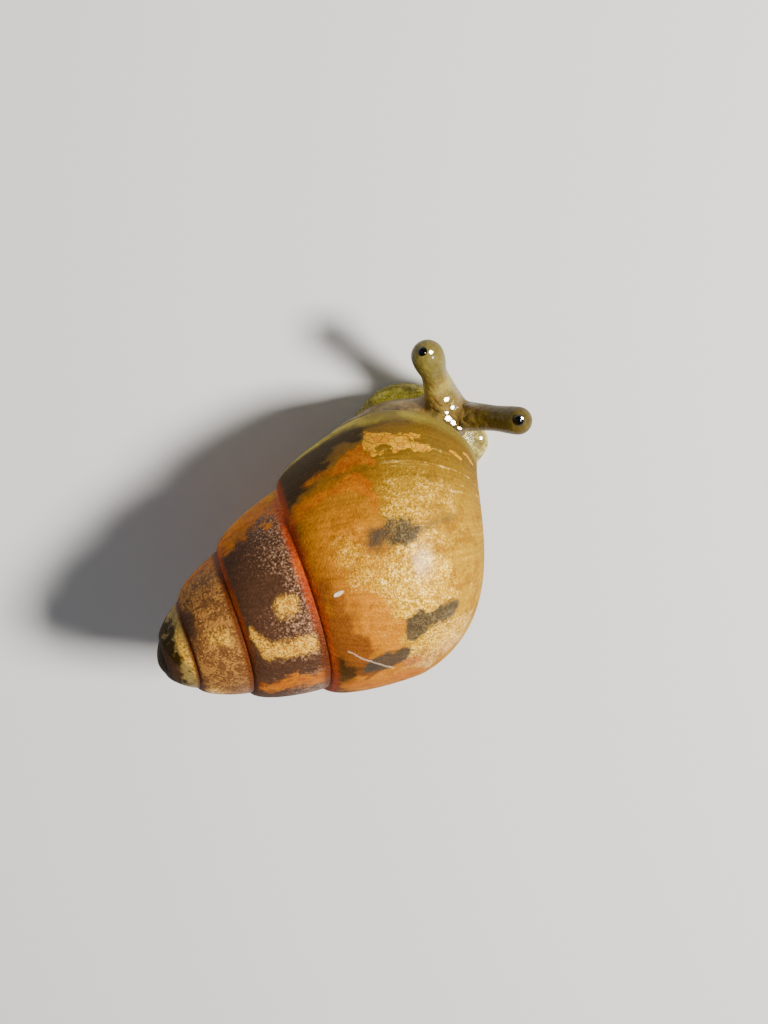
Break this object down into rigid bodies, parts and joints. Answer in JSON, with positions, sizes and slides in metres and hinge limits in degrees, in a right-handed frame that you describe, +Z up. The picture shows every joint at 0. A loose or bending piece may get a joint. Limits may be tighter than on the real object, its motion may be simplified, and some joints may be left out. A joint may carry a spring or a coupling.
{
  "type": "auriculella perversa tree snail",
  "caption": "Life-size still model of a small left-coiled tree snail, crawling flat with both eye stalks raised and a tall amber shell.",
  "frame": {"origin": "middle of the bounding box, at floor level under the flat sole", "axes": "-Y is the way the snail faces, +X is its left side, +Z is up"},
  "size_m": [0.004, 0.0064, 0.004],
  "materials": {
    "shell": "thin glossy amber shell, brown and gold mottled spire",
    "mantle": "moist brown mantle collar",
    "flesh": "moist translucent taupe-brown skin",
    "foot": "moist pale yellow-olive skin",
    "eye": "glossy black"
  },
  "bodies": {
    "root": {"shell": "shell", "mantle": "mantle", "neck": "flesh", "head": "flesh", "foot": "foot", "tail": "foot", "eye_stalk_left": "flesh", "eye_stalk_right": "flesh", "eye_left": "eye", "eye_right": "eye"}
  },
  "joints": []
}
